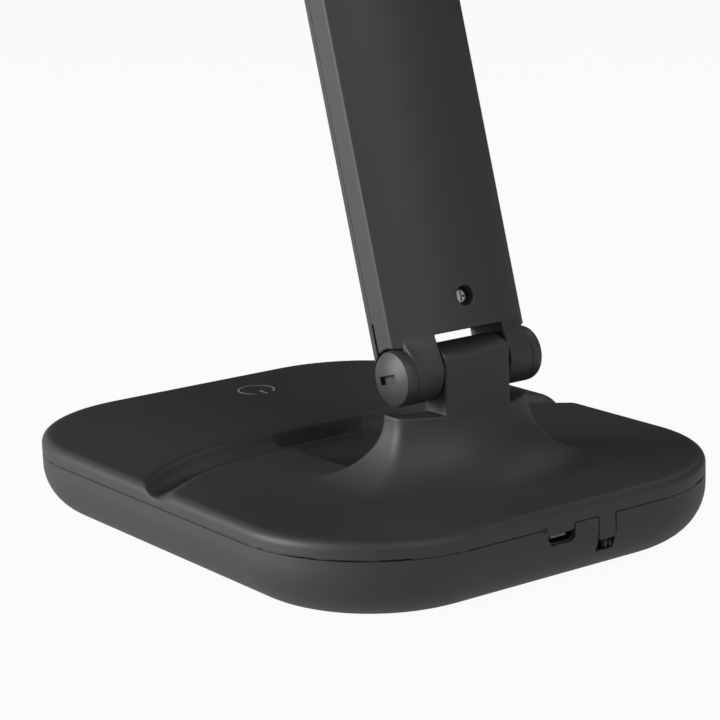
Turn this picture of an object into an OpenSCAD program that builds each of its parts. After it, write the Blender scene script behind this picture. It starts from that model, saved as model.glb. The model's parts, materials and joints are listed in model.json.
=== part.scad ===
// Folding LED table lamp on a moulded base with a phone groove.
// Front is -Y, the side that faces the user. The tray's underside lies on z = 0.
// Millimetres throughout.

/* [Base] */
// Width of the base, side to side
base_w = 140; // [124:1:160]
// Depth of the base, front to back
base_d = 172; // [160:1:190]
// Height of the moulded base, without its feet
base_h = 22; // [21:0.5:26]
// Corner radius of the base, seen from above
corner_r = 40; // [34:1:46]
// Big round under the edge of the base
bottom_r = 14; // [10:0.5:15]
// Small round along the top edge of the base
top_r = 2.5; // [1:0.5:4]
// Height of the seam between tray and cover
seam_h = 17; // [16:0.5:18]
// Wall of the base mouldings
base_wall = 2.4; // [2:0.1:2.8]
// Depth of the lip that locates the cover in the tray
lip_h = 2; // [1.5:0.1:3]
// Height that the rubber feet lift the tray
foot_proud = 0.8; // [0.5:0.1:1.5]
// Diameter of a rubber foot
foot_d = 12; // [9:0.5:14]
// Depth of the recess that holds a foot
foot_seat = 1.2; // [0.6:0.1:1.6]
// Distance between the feet, side to side
foot_span_x = 88; // [76:1:92]
// Distance between the feet, front to back
foot_span_y = 100; // [90:1:112]

/* [Phone groove] */
// Depth of the groove in the middle of the base
groove_depth = 5; // [4:0.25:6]
// Radius of the groove's round section
groove_r = 9.7; // [8.5:0.1:11]
// Distance from the middle of the base to the groove, towards the front
groove_y = 14; // [12:0.5:16]
// Half length of the groove's straight middle
groove_straight = 30; // [24:1:34]
// Radius that the groove's ends turn back on
groove_turn_r = 55; // [50:1:60]
// Rise of the turned ends, in degrees
groove_rise = 9; // [7:0.5:11]
// Front edge of the flat slot, from the middle of the base
slot_front = 21; // [20:0.5:22]

/* [Neck] */
// Step from the arm's side in to the neck's shoulder
neck_step = 0.6; // [0:0.1:1.2]
// Height of the shoulders
shoulder_z = 40; // [38:0.2:41]
// Radius of the neck's bowed back
neck_bow_r = 34.8; // [32:0.2:40]
// Reach of the neck behind the hinge axis
neck_back = 9.2; // [8.8:0.1:9.8]
// Reach of the neck in front of the hinge axis
neck_front = 5.1; // [4.6:0.1:5.8]
// Radius of the sweep from the neck into the base
flare_r = 15; // [12:0.5:16]
// Radius of the knuckle's crowned top
knuckle_crown_r = 16; // [14:0.5:20]

/* [Hinges] */
// Distance of the lower hinge axis from the rear of the base
hinge_in = 42.7; // [40:0.1:46]
// Height of the lower hinge axis
hinge_z = 50.2; // [50:0.1:53]
// Diameter of the hinge barrels
barrel_d = 14.7; // [14:0.1:15]
// Width of a barrel with its cap and its gap to the knuckle
barrel_w = 11.2; // [11.1:0.1:12.4]
// Diameter of the hinge shafts
shaft_d = 5; // [4:0.1:5.4]
// Gap between the knuckle and a barrel
hinge_play = 0.3; // [0.2:0.05:0.5]
// Radial clearance of a shaft in a barrel
shaft_play = 0.06; // [0.04:0.01:0.09]
// Thickness of the barrel's inner wall
barrel_wall = 2.5; // [2:0.1:3]
// Diameter of the pocket for the washers and the nut
pocket_d = 11.2; // [10.8:0.1:11.6]
// Thickness of a friction washer
friction_t = 0.8; // [0.6:0.1:1]
// Thickness of a cupped spring washer
spring_t = 0.6; // [0.4:0.1:0.8]
// Outer diameter of the washers
washer_d = 10; // [9.5:0.1:10.2]
// Thickness of the lock nut
nut_t = 1.6; // [1.4:0.1:1.8]
// Width of the lock nut across its flats
nut_af = 8; // [7:0.1:8.4]
// Visible length of a pivot cap, from barrel to tip
cap_l = 4.6; // [4:0.1:5]
// Round along the edge of a pivot cap
cap_round = 3.2; // [2.4:0.1:3.6]
// Radius of a pivot cap's domed face
cap_dome_r = 16; // [13:0.5:24]
// Length of the slot in a pivot cap
cap_slot_l = 6.4; // [5:0.1:7]
// Width of the slot in a pivot cap
cap_slot_w = 2.2; // [1.6:0.1:2.6]
// Depth of the slot in a pivot cap
cap_slot_depth = 1.6; // [1:0.1:2]

/* [Arm] */
// Distance between the lower and the upper hinge axis
arm_len = 250; // [230:1:280]
// Width of the arm
arm_w = 43.6; // [43:0.2:46]
// Forward lean of the arm at rest, in degrees
arm_lean = 16; // [12:0.5:20]
// Reach of the arm's flat front before the hinge axis
arm_front = 6.7; // [6.4:0.1:6.9]
// Reach of the arm's bowed back behind the hinge axis
arm_back = 8.2; // [7.8:0.1:8.4]
// Radius of the arm's bowed back
arm_bow_r = 42; // [40:1:48]
// Small round along the arm's front edges
arm_edge_r = 0.8; // [0.4:0.1:1.2]
// Wall of the arm shell
arm_wall = 1.8; // [1.4:0.1:2.2]
// Depth of the front cover's sides
cover_depth = 2.1; // [1.9:0.1:2.4]
// Half height of the notch for a knuckle, from the hinge axis
notch_h = 9; // [8.8:0.1:9.6]
// Length of the slit between shell and cover above the caps
slit_l = 7; // [5:0.5:9]
// Width of that slit
slit_w = 0.6; // [0.4:0.1:0.8]
// Distance of the end screws from their hinge axis
arm_screw_z = 17.5; // [16:0.5:24]
// Diameter of the screw recess in the arm's back
screw_recess_d = 5.2; // [4.8:0.1:5.6]

/* [Head] */
// Length of the head, from the upper hinge axis to its tip
head_len = 224; // [200:1:226]
// Width of the head
head_w = 50; // [46:1:60]
// Thickness of the head
head_t = 11; // [10:0.5:13]
// Corner radius of the head, seen from above
head_corner_r = 12; // [8:1:16]
// Round along the head's top edges
head_edge_r = 3; // [2:0.5:4]
// Reach of the head behind the upper hinge axis
head_tail = 8; // [7.6:0.1:8.2]
// Height of the head's light side above the upper hinge axis
head_rise = 8.8; // [8.7:0.1:9.4]
// Tilt of the head at rest, in degrees, tip down
head_pitch = 0; // [0:0.5:2]
// Wall of the head's top shell
head_wall = 1.8; // [1.5:0.1:2.2]
// Width of the bezel beside the light window
bezel_w = 5; // [4:0.5:7]
// Distance of the light window's near end from the hinge axis
window_near = 20; // [19:0.5:26]
// Distance of the light window's far end from the head's tip
window_far = 14; // [13.5:0.5:18]
// Thickness of the bezel
bezel_t = 1.6; // [1.4:0.1:2]
// Thickness of the diffuser
diffuser_t = 1.2; // [1:0.1:1.4]
// Thickness of the light guide
guide_t = 2.4; // [2:0.1:3]
// Thickness of the white reflector sheet
reflector_t = 0.4; // [0.3:0.1:0.6]
// Number of light-emitting diodes along the light guide
led_count = 24; // [12:1:28]

/* [Electrics] */
// Width of the charging inlet's opening
usb_w = 8.8; // [8.2:0.1:9.4]
// Height of the charging inlet's opening
usb_h = 3; // [2.8:0.1:3.2]
// Sideways place of the charging inlet
usb_x = 2.6; // [0:0.1:4]
// Sideways place of the slide switch
switch_x = -12.6; // [-16:0.1:-11]
// Width of the slide switch's opening
switch_w = 5.8; // [5.4:0.1:6.4]
// Height of the slide switch's opening
switch_h = 3.2; // [3:0.1:3.4]
// Travel of the slide switch
switch_travel = 2.4; // [2:0.1:2.6]
// Diameter of the charge light's pin hole
light_d = 1.2; // [1:0.1:1.4]
// Thickness of a circuit board
board_t = 1.6; // [1.4:0.1:1.8]
// Width of the control board
board_w = 52; // [46:1:56]
// Depth of the control board
board_d = 34; // [30:1:36]
// Thickness of the ballast plate
ballast_t = 4; // [3:0.1:4.4]
// Width of the ballast plate
ballast_w = 84; // [70:1:88]
// Length of the ballast plate
ballast_d = 90; // [76:1:94]
// Width of the battery
battery_w = 54; // [46:1:60]
// Length of the battery
battery_d = 58; // [50:1:66]
// Thickness of the battery
battery_t = 6.6; // [6:0.1:7]
// Diameter of the touch pad under the cover
touch_d = 20; // [16:1:24]
// Sideways place of the touch mark
touch_x = -5; // [-8:0.5:0]
// Distance of the touch mark from the front of the base
touch_in = 23; // [20:0.5:28]

/* [Screws] */
// Diameter of the base screws' shanks
base_screw_d = 3; // [2.5:0.1:3.5]
// Diameter of the base screws' heads
base_screw_head = 5.4; // [5:0.1:6]
// Distance between the base screws, side to side
screw_span_x = 62; // [56:1:66]
// Distance between the base screws, front to back
screw_span_y = 132; // [128:1:134]
// Diameter of the small screws' shanks
small_screw_d = 2.2; // [2:0.1:2.4]
// Diameter of the small screws' heads
small_screw_head = 4.2; // [3.8:0.1:4.4]

/* [Fits] */
// Gap round a piece that drops into another
fit_gap = 0.1; // [0.05:0.05:0.2]
// Gap round the switch's slider
slide_gap = 0.3; // [0.25:0.05:0.4]

/* [Hidden] */

// smoothness of round parts
$fn = 72;
// how far a cutter runs past what it cuts
over = 1;

z_floor = base_wall;
z_ceiling = base_h - base_wall;
rear_y = base_d / 2;
hinge_y = rear_y - hinge_in;
touch_y = rear_y - touch_in;
touch_t = 0.3;
neck_w = arm_w - 2 * neck_step;
knuckle_w = arm_w - 2 * barrel_w;
slot_z = base_h - groove_depth;
under_slot_z = slot_z - base_wall;
lip_z = seam_h - lip_h + fit_gap;

// the inlet stands on the board, the switch hangs under it
usb_top_gap = 1.5;
usb_z = seam_h - usb_top_gap - usb_h;
usb_wall = 0.35;
usb_depth = 5.6;
usb_face_y = rear_y - 0.9;
board_z = usb_z - board_t;
under_board = 0.3;
switch_z = board_z - switch_h - under_board;
switch_wall = 1.7;
switch_lip = 0.4;
switch_depth = 5;
switch_face_y = rear_y - base_wall - 3;
board_inset = 1.2;
board_y = rear_y - base_wall - board_inset - board_d / 2;
board_top = board_z + board_t;
board_hole_in = 4;
plug = [7, 4.5, 4];
plug_x = -2;
plug_y = -15;
light_x = usb_x + usb_w / 2 + light_d;
boss_d = 8.4;
small_boss_d = 5.4;
post_h = 4;
post_top = z_floor + post_h;
tab_gap = 0.15;
ballast_y = -12;
battery_y = -27;
ballast_top = z_floor + ballast_t;
stake_d = 4;
stake_head = 6.5;
stake_head_h = 0.8;
stake_in_x = 5;
stake_in_y = 8;
base_screw_l = 12;
board_screw_l = 6;
head_screw_l = 5;

// neck outline: sides, front and the corner where the bowed back begins
neck_x = neck_w / 2;
neck_front_y = hinge_y - neck_front;
bow_y = hinge_y + neck_back - neck_bow_r;
neck_edge_r = 0.8;
edge_x = neck_x - neck_edge_r;
edge_front_y = neck_front_y + neck_edge_r;
edge_back_y = bow_y + sqrt(pow(neck_bow_r - neck_edge_r, 2) - edge_x * edge_x);
edge_a = acos(edge_x / (neck_bow_r - neck_edge_r));
sweep_land = 2;
sweep_top = shoulder_z - sweep_land;
sweep_r = sweep_top - slot_z;

// each hinge from the knuckle outwards: barrel wall, washers, nut, cap
barrel_r = barrel_d / 2;
barrel_in = knuckle_w / 2 + hinge_play;
cap_set = 2.7;
barrel_out = arm_w / 2 - cap_set;
relief_gap = 0.35;
relief_r = barrel_r + relief_gap;
spigot_l = 1.2;
washer_gap = 0.05;
washer_bore = shaft_d + 2 * fit_gap;
friction_in = barrel_in + barrel_wall;
spring_in = friction_in + friction_t + washer_gap;
nut_in = spring_in + spring_t;
nut_out = nut_in + nut_t;
shaft_end = 0.15;
shaft_half = nut_out + shaft_end;
lead_d = 1.1;
lead_lap = 0.4 * lead_d;
lead_x = (nut_out + barrel_out - spigot_l) / 2 + fit_gap;
lead_hole = 1.8;
lead_end = 0.3;

cover_y = cover_depth - arm_front;
crown_y = arm_back - arm_bow_r;
cavity_z = notch_h + arm_wall;
cover_panel = 1.6;
recess_depth = 3.6;
recess_wall = 1.4;
screw_seat_y = arm_back - recess_depth;
post_rise = 2;
post_y = post_rise - arm_front + cover_depth;
slit_depth = 1.2;
lead_bend = 8;
lead_shift = 5;

head_full = head_len + head_tail;
head_mid = (head_tail - head_len) / 2;
head_top = head_rise + head_t;
head_ceiling = head_top - head_wall;
head_knuckle_r = barrel_r;
head_knuckle_y = 7.3;
bezel_in = head_wall + fit_gap;
stack_z = head_rise + bezel_t;
guide_z = stack_z + diffuser_t;
reflector_z = guide_z + guide_t;
window_w = head_w - 2 * bezel_in - 2 * bezel_w;
window_len = head_len - window_far - window_near;
window_y = -window_near - window_len / 2;
light_lap = 2.5;
led_room = 2;
led_x = window_w / 2 + light_lap - led_room;
led_board_t = 0.8;
led_w = 2.8;
led_h = 1.6;
led_t = 0.9;
led_gap = 0.15;
window_r = 3;
head_screw_near = -13;
head_screw_far = head_wall + 4.5 - head_len;
head_screw_x = window_w / 2 - 2;
head_screw_head = 3.8;
head_screw_seat = 0.9;
lead_way_z = head_ceiling - 1.5;

// half section of a plate with a round lower and upper edge, reaching out along X
module edge_section(reach, z0, z1, low_r, high_r) {
    translate([0, z0 + low_r])
        square([reach, z1 - z0 - low_r - high_r]);
    if (low_r > 0) {
        translate([0, z0])
            square([reach - low_r, low_r]);
        intersection() {
            translate([reach - low_r, z0 + low_r])
                circle(low_r);
            translate([reach - low_r, z0])
                square([low_r, low_r]);
        }
    }
    if (high_r > 0) {
        translate([0, z1 - high_r])
            square([reach - high_r, high_r]);
        intersection() {
            translate([reach - high_r, z1 - high_r])
                circle(high_r);
            translate([reach - high_r, z1 - high_r])
                square([high_r, high_r]);
        }
    }
}

// plate with round corners and rounded edges: four turned corners and straight runs between
module plate(w, d, r, z0, z1, low_r, high_r) {
    run_x = w / 2 - r;
    run_y = d / 2 - r;
    for (a = [0 : 90 : 270])
        translate([run_x * sign(cos(a + 45)), run_y * sign(sin(a + 45)), 0])
            rotate([0, 0, a])
                rotate_extrude(angle = 90)
                    edge_section(r, z0, z1, low_r, high_r);
    for (side = [0, 180])
        rotate([0, 0, side]) {
            translate([run_x, run_y, 0])
                rotate([90, 0, 0])
                    linear_extrude(2 * run_y)
                        edge_section(r, z0, z1, low_r, high_r);
            translate([run_x, run_y, 0])
                rotate([90, 0, -90])
                    mirror([1, 0, 0])
                        linear_extrude(2 * run_x)
                            edge_section(r, z0, z1, low_r, high_r);
        }
    translate([-run_x, -run_y, z0])
        cube([2 * run_x, 2 * run_y, z1 - z0]);
}

// plate drawn in by an inset, for cavities and lips
module inner_plate(inset, z0, z1, low_r = 0) {
    plate(base_w - 2 * inset, base_d - 2 * inset, corner_r - inset, z0, z1, low_r, 0);
}

module base_block() {
    plate(base_w, base_d, corner_r, 0, base_h, bottom_r, top_r);
}

module base_cavity() {
    inner_plate(base_wall, z_floor, z_ceiling, bottom_r - base_wall);
}

// the cover's tabs fill the tray's open-topped notches above the inlet and the switch
module tab_boxes(gap) {
    rise = gap > 0 ? over : 0;
    for (t = [[usb_x, usb_w, usb_z + usb_h], [switch_x, switch_w, switch_z + switch_h]])
        translate([t[0] - t[1] / 2 - gap, rear_y - 2 * base_wall, t[2]])
            cube([t[1] + 2 * gap, 3 * base_wall, seam_h - t[2] + rise]);
}

module usb_outline(gap = 0) {
    chamfer = 1.1;
    w = usb_w / 2 - gap;
    low = usb_z + gap;
    polygon([[-w, low + chamfer], [chamfer - w, low], [w - chamfer, low],
             [w, low + chamfer], [w, usb_z + usb_h - gap], [-w, usb_z + usb_h - gap]]);
}

module port_openings() {
    translate([usb_x, rear_y + over, 0])
        rotate([90, 0, 0])
            linear_extrude(3 * base_wall)
                usb_outline();
    translate([switch_x - switch_w / 2, rear_y - 3 * base_wall, switch_z])
        cube([switch_w, 4 * base_wall, switch_h]);
    translate([light_x, rear_y + over, seam_h])
        rotate([90, 0, 0])
            cylinder(d = light_d + 2 * fit_gap, h = 3 * base_wall);
}

// children at the four corners of a rectangle
module four(span_x, span_y, mid_y = 0) {
    for (sx = [-1, 1], sy = [-1, 1])
        translate([sx * span_x / 2, mid_y + sy * span_y / 2, 0])
            children();
}

module base_screw_places() {
    four(screw_span_x, screw_span_y)
        children();
}

module board_screw_places() {
    four(board_w - 2 * board_hole_in, board_d - 2 * board_hole_in, board_y)
        children();
}

module stake_places() {
    four(ballast_w - 2 * stake_in_x, ballast_d - 2 * stake_in_y, ballast_y)
        children();
}

// outline of the neck and the knuckle, seen from above
module neck_outline(half = neck_x, inset = 0) {
    intersection() {
        translate([0, bow_y])
            circle(neck_bow_r - inset, $fn = 180);
        translate([inset - half, neck_front_y + inset])
            square([2 * (half - inset), neck_front + neck_back]);
    }
}

// what rounds the neck's upright edges: a wedge with a circle taken out
module edge_cutter(angle) {
    reach = 2 * neck_edge_r;
    difference() {
        polygon([[0, 0], [reach, 0], reach * [cos(angle / 2), sin(angle / 2)] * 1.2,
                 reach * [cos(angle), sin(angle)]]);
        circle(neck_edge_r, $fn = 48);
    }
}

module round_neck_outline() {
    difference() {
        neck_outline();
        for (side = [0, 1])
            mirror([side, 0]) {
                translate([edge_x, edge_back_y])
                    edge_cutter(edge_a);
                translate([edge_x, edge_front_y])
                    rotate(-90)
                        edge_cutter(90);
            }
    }
}

// concave sweep section: outward along X, up along Y, starting inside the neck's face
module flare_section(less = 0) {
    dip = 0.15;
    cross = 0.05;
    inside = neck_edge_r / 2;
    difference() {
        translate([-inside, -base_wall / 2])
            square([flare_r - dip + inside, flare_r - dip + base_wall / 2]);
        translate([flare_r - cross - less, flare_r - dip - less])
            circle(flare_r, $fn = 96);
    }
}

module neck_flare() {
    lap = 1.2;
    translate([0, 0, base_h]) {
        translate([0, bow_y, 0])
            rotate([0, 0, edge_a - lap])
                rotate_extrude(angle = 180 - 2 * (edge_a - lap), $fn = 180)
                    translate([neck_bow_r, 0])
                        flare_section();
        for (side = [0, 1])
            mirror([side, 0, 0]) {
                translate([neck_x, edge_back_y, 0])
                    rotate([90, 0, 0])
                        linear_extrude(edge_back_y - edge_front_y)
                            flare_section();
                // laps into its neighbours, a hair lower than they are
                translate([edge_x, edge_back_y, 0])
                    rotate([0, 0, -2])
                        rotate_extrude(angle = edge_a + 4)
                            translate([neck_edge_r, 0])
                                flare_section(0.02);
                translate([edge_x, edge_front_y, 0])
                    rotate([0, 0, -90])
                        rotate_extrude(angle = 90)
                            translate([neck_edge_r, 0])
                                flare_section();
            }
    }
}

// the knuckle: same plan as the neck, with a crowned top
module knuckle() {
    crown_z = hinge_z + barrel_r;
    intersection() {
        translate([0, 0, shoulder_z - over])
            linear_extrude(crown_z - shoulder_z + 2 * over)
                neck_outline(knuckle_w / 2);
        translate([-knuckle_w, hinge_y, crown_z - knuckle_crown_r])
            rotate([0, 90, 0])
                cylinder(r = knuckle_crown_r, h = 2 * knuckle_w, $fn = 120);
    }
}

// round groove across the base: straight in the middle, ends turned back and rising
module groove() {
    for (side = [0, 1])
        mirror([side, 0, 0])
            translate([groove_straight, -groove_y, base_h - groove_depth + groove_r])
                rotate([groove_rise, 0, 0])
                    translate([0, groove_turn_r, 0])
                        rotate([0, 0, -90]) {
                            rotate_extrude(angle = 70, $fn = 180)
                                translate([groove_turn_r, 0])
                                    circle(groove_r, $fn = 96);
                            rotate([90, 0, 0])
                                linear_extrude(groove_straight)
                                    translate([groove_turn_r, 0])
                                        circle(groove_r, $fn = 96);
                        }
}

// flat slot in front of the neck, swept up into the neck's front face
module slot_cutter() {
    clear = neck_w;
    translate([neck_x, 0, 0])
        rotate([90, 0, -90])
            linear_extrude(neck_w) {
                translate([sweep_r - neck_front_y, slot_z])
                    square([slot_front + neck_front_y - sweep_r, clear]);
                intersection() {
                    translate([sweep_r - neck_front_y, slot_z + sweep_r])
                        circle(sweep_r, $fn = 144);
                    translate([-neck_front_y, slot_z])
                        square([sweep_r, sweep_r]);
                }
                translate([-neck_front_y, slot_z + sweep_r])
                    square([sweep_r, clear]);
            }
}

// band that follows the groove, seen from above
module groove_plan(half) {
    outer = groove_turn_r + half;
    translate([-groove_straight, -groove_y - half])
        square([2 * groove_straight, 2 * half]);
    for (side = [0, 1])
        mirror([side, 0])
            translate([groove_straight, groove_turn_r - groove_y])
                intersection() {
                    difference() {
                        circle(outer, $fn = 180);
                        circle(groove_turn_r - half, $fn = 180);
                    }
                    translate([0, -outer])
                        square(outer);
                }
}

// walls that stay thick under the groove and the slot
module thick_zones(inset, z0, z1) {
    intersection() {
        inner_plate(inset, z0, z1);
        translate([0, 0, z0])
            linear_extrude(z1 - z0)
                groove_plan(groove_r);
    }
}

module hinge_rod(half, r) {
    translate([-half, 0, 0])
        rotate([0, 90, 0])
            cylinder(r = r, h = 2 * half);
}

// a tube or disc along the hinge axis, on both sides
module hinge_ring(x0, x1, r, bore = 0) {
    for (side = [0, 1])
        mirror([side, 0, 0])
            translate([x0, 0, 0])
                rotate([0, 90, 0])
                    difference() {
                        cylinder(r = r, h = x1 - x0);
                        if (bore > 0)
                            translate([0, 0, -over])
                                cylinder(r = bore, h = x1 - x0 + 2 * over);
                    }
}

module at_lower_hinge(lean = arm_lean) {
    translate([0, hinge_y, hinge_z])
        rotate([lean, 0, 0])
            children();
}

module at_upper_hinge(turn = 0) {
    at_lower_hinge()
        translate([0, 0, arm_len])
            rotate([turn, 0, 0])
                children();
}

module at_head() {
    at_upper_hinge(head_pitch - arm_lean)
        children();
}

module base_top_cover() {
    color([0.17, 0.17, 0.18])
        difference() {
            union() {
                difference() {
                    intersection() {
                        base_block();
                        union() {
                            translate([-base_w, -base_d, seam_h])
                                cube([2 * base_w, 2 * base_d, base_h]);
                            tab_boxes(0);
                        }
                    }
                    base_cavity();
                }
                // lip that drops into the tray, broken where the ports pass
                difference() {
                    inner_plate(base_wall / 2 + fit_gap, lip_z, seam_h + over);
                    inner_plate(base_wall, seam_h - lip_h - over, seam_h + 2 * over);
                    translate([switch_x - switch_w, rear_y - 3 * base_wall, seam_h - lip_h])
                        cube([usb_x - switch_x + usb_w + switch_w, 4 * base_wall, lip_h]);
                }
                thick_zones(base_wall + fit_gap, under_slot_z, lip_z);
                thick_zones(base_wall * 0.8, lip_z, z_ceiling + over);
                translate([-neck_x - base_wall, -slot_front - over, under_slot_z])
                    cube([neck_w + 2 * base_wall, slot_front + over + neck_front_y,
                          groove_depth + over]);
                translate([-neck_x, neck_front_y - sweep_r, under_slot_z])
                    cube([neck_w, sweep_r, sweep_top - under_slot_z]);
                translate([0, 0, base_h - base_wall / 2])
                    linear_extrude(shoulder_z - base_h + base_wall / 2)
                        round_neck_outline();
                neck_flare();
                knuckle();
                base_screw_places()
                    translate([0, 0, post_top + fit_gap])
                        cylinder(d = boss_d, h = z_ceiling - post_top);
            }
            groove();
            slot_cutter();
            port_openings();
            translate([0, hinge_y, hinge_z])
                hinge_rod(knuckle_w, shaft_d / 2 + fit_gap / 2);
            // hollow of the neck and the way up for the lead
            translate([0, 0, under_slot_z - over])
                linear_extrude(shoulder_z - base_wall - under_slot_z + over)
                    neck_outline(neck_x, base_wall);
            translate([0, hinge_y, under_slot_z])
                cylinder(d = lead_hole, h = hinge_z - under_slot_z);
            base_screw_places()
                translate([0, 0, z_floor])
                    cylinder(d = base_screw_d + fit_gap, h = z_ceiling - z_floor - over);
        }
}

module base_bottom_tray() {
    color([0.16, 0.16, 0.17])
        difference() {
            union() {
                difference() {
                    intersection() {
                        base_block();
                        translate([-base_w, -base_d, -over])
                            cube([2 * base_w, 2 * base_d, seam_h + over]);
                    }
                    base_cavity();
                }
                base_screw_places()
                    translate([0, 0, base_wall / 2])
                        cylinder(d = boss_d, h = post_top - base_wall / 2);
                // posts under the control board, trimmed to the rounded wall
                intersection() {
                    inner_plate(base_wall / 2, base_wall / 2, seam_h, bottom_r - base_wall / 2);
                    board_screw_places()
                        cylinder(d = small_boss_d, h = board_z);
                }
                // pins with spread heads that hold the ballast
                stake_places() {
                    translate([0, 0, base_wall / 2])
                        cylinder(d = stake_d, h = ballast_top - base_wall / 2);
                    translate([0, 0, ballast_top])
                        cylinder(d = stake_head, h = stake_head_h);
                }
            }
            // rebate for the cover's lip
            inner_plate(base_wall / 2, seam_h - lip_h, seam_h + over);
            tab_boxes(tab_gap);
            port_openings();
            four(foot_span_x, foot_span_y)
                translate([0, 0, -over])
                    cylinder(d = foot_d + 2 * fit_gap, h = foot_seat + over);
            base_screw_places() {
                translate([0, 0, -over])
                    cylinder(d = base_screw_d + 4 * fit_gap, h = post_top + 2 * over);
                translate([0, 0, -over])
                    cylinder(d = base_screw_head + 4 * fit_gap, h = base_wall + over);
            }
            board_screw_places()
                translate([0, 0, board_z / 2])
                    cylinder(d = small_screw_d + fit_gap, h = board_z);
        }
}

module ballast_plate() {
    color([0.45, 0.46, 0.48])
        difference() {
            translate([0, ballast_y, z_floor])
                plate(ballast_w, ballast_d, 4, 0, ballast_t, 0, 0);
            stake_places()
                cylinder(d = stake_d + 2 * fit_gap, h = base_h);
        }
}

module rubber_feet() {
    color([0.08, 0.08, 0.08])
        four(foot_span_x, foot_span_y)
            translate([0, 0, -foot_proud])
                rotate_extrude()
                    mirror([0, 1])
                        translate([0, -foot_seat - foot_proud])
                            edge_section(foot_d / 2, 0, foot_seat + foot_proud, 0, foot_proud / 2);
}

// pan-head screw, its seat at z = 0 and its shank downwards
module screw(d, head, l) {
    head_h = 0.36 * head;
    socket = 0.3 * head;
    difference() {
        union() {
            rotate_extrude()
                edge_section(head / 2, 0, head_h, 0, head_h / 2);
            translate([0, 0, -l])
                cylinder(d = d, h = l);
        }
        for (a = [0, 90])
            rotate([0, 0, a])
                translate([-socket, -socket / 4, head_h / 2])
                    cube([2 * socket, socket / 2, head_h]);
    }
}

module base_screws() {
    color([0.6, 0.6, 0.62])
        base_screw_places()
            translate([0, 0, base_wall])
                rotate([180, 0, 0])
                    screw(base_screw_d, base_screw_head, base_screw_l);
}

module battery_pack() {
    color([0.35, 0.5, 0.65])
        translate([0, battery_y, ballast_top])
            plate(battery_w, battery_d, 3, 0, battery_t, 1.5, 1.5);
}

module control_board() {
    color([0.08, 0.3, 0.2])
        difference() {
            translate([0, board_y, 0])
                plate(board_w, board_d, 1.5, board_z, board_top, 0, 0);
            board_screw_places()
                translate([0, 0, board_z - over])
                    cylinder(d = small_screw_d + 2 * fit_gap, h = board_t + 2 * over);
        }
}

// driver chip, coil, two capacitors and the plugs of the battery and the lamp head
module board_parts() {
    chip = [7, 7, 1.2];
    coil = [6.5, 6.5, 3];
    can_d = 4.6;
    can_h = 5;
    color([0.1, 0.1, 0.11])
        translate([0, board_y, board_top]) {
            translate([-10, -5, 0])
                cube(chip);
            translate([6, -8, 0])
                cube(coil);
            for (x = [15, 20.5])
                translate([x, 3, 0])
                    cylinder(d = can_d, h = can_h);
            for (x = [-16, plug_x])
                translate([x, plug_y, 0])
                    cube(plug);
        }
}

module board_screws() {
    color([0.6, 0.6, 0.62])
        board_screw_places()
            translate([0, 0, board_top])
                screw(small_screw_d, small_screw_head, board_screw_l);
}

module usb_socket() {
    color([0.7, 0.7, 0.72])
        difference() {
            translate([usb_x, usb_face_y, 0])
                rotate([90, 0, 0])
                    linear_extrude(usb_depth)
                        usb_outline(fit_gap);
            translate([usb_x, usb_face_y + over, 0])
                rotate([90, 0, 0])
                    linear_extrude(usb_depth - usb_wall + over)
                        usb_outline(fit_gap + usb_wall);
        }
}

module usb_tongue() {
    inner = usb_depth - usb_wall;
    tongue_in = 1.9;
    tongue_t = 0.6;
    color([0.85, 0.85, 0.83])
        translate([usb_x - usb_w / 2 + tongue_in, usb_face_y - inner, usb_z + usb_h / 2])
            cube([usb_w - 2 * tongue_in, inner - 0.8, tongue_t]);
}

// the body hangs under the board, open towards the rear
module slide_switch_body() {
    w = switch_w + 2 * switch_wall;
    low = switch_z - switch_lip / 2;
    inner = switch_depth - over;
    color([0.25, 0.25, 0.26])
        difference() {
            translate([switch_x - w / 2, switch_face_y - switch_depth, low])
                cube([w, switch_depth, board_z - low]);
            translate([switch_x - switch_w / 2, switch_face_y - inner, switch_z + switch_lip])
                cube([switch_w, inner + over, switch_h - 2 * switch_lip]);
        }
}

// drawn at the -X end of its travel
module switch_slider() {
    w = switch_w - switch_travel - 2 * slide_gap;
    x0 = switch_x - switch_w / 2 + slide_gap;
    y0 = switch_face_y - switch_depth + over + 0.4;
    y1 = rear_y - 2;
    z0 = switch_z + switch_lip + slide_gap;
    h = switch_h - 2 * (switch_lip + slide_gap);
    rib = w / 5;
    color([0.2, 0.2, 0.21]) {
        translate([x0, y0, z0])
            cube([w, y1 - y0, h]);
        for (k = [0.5, 3.5])
            translate([x0 + k * rib, y1, z0])
                cube([rib, 0.6, h]);
    }
}

module charge_light_pipe() {
    foot_y = rear_y - base_wall - 3;
    tip_y = rear_y - 0.2;
    color([0.9, 0.9, 0.88]) {
        translate([light_x, foot_y, board_top])
            cylinder(d = 1.5 * light_d, h = seam_h + light_d - board_top);
        translate([light_x, tip_y, seam_h])
            rotate([90, 0, 0])
                cylinder(d = light_d, h = tip_y - foot_y - light_d / 2);
    }
}

module touch_pad() {
    color([0.75, 0.55, 0.3])
        translate([touch_x, -touch_y, z_ceiling - touch_t])
            cylinder(d = touch_d, h = touch_t);
}

// round wire through a list of points; each run laps into the next, slightly thicker one
module wire(points) {
    for (i = [0 : len(points) - 2]) {
        step = points[i + 1] - points[i];
        run = norm(step);
        translate(points[i])
            rotate([0, acos(step[2] / run), atan2(step[1], step[0])])
                translate([0, 0, -lead_lap])
                    cylinder(d = lead_d + 0.2 * (i % 2), h = run + 2 * lead_lap, $fn = 32);
    }
}

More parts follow.
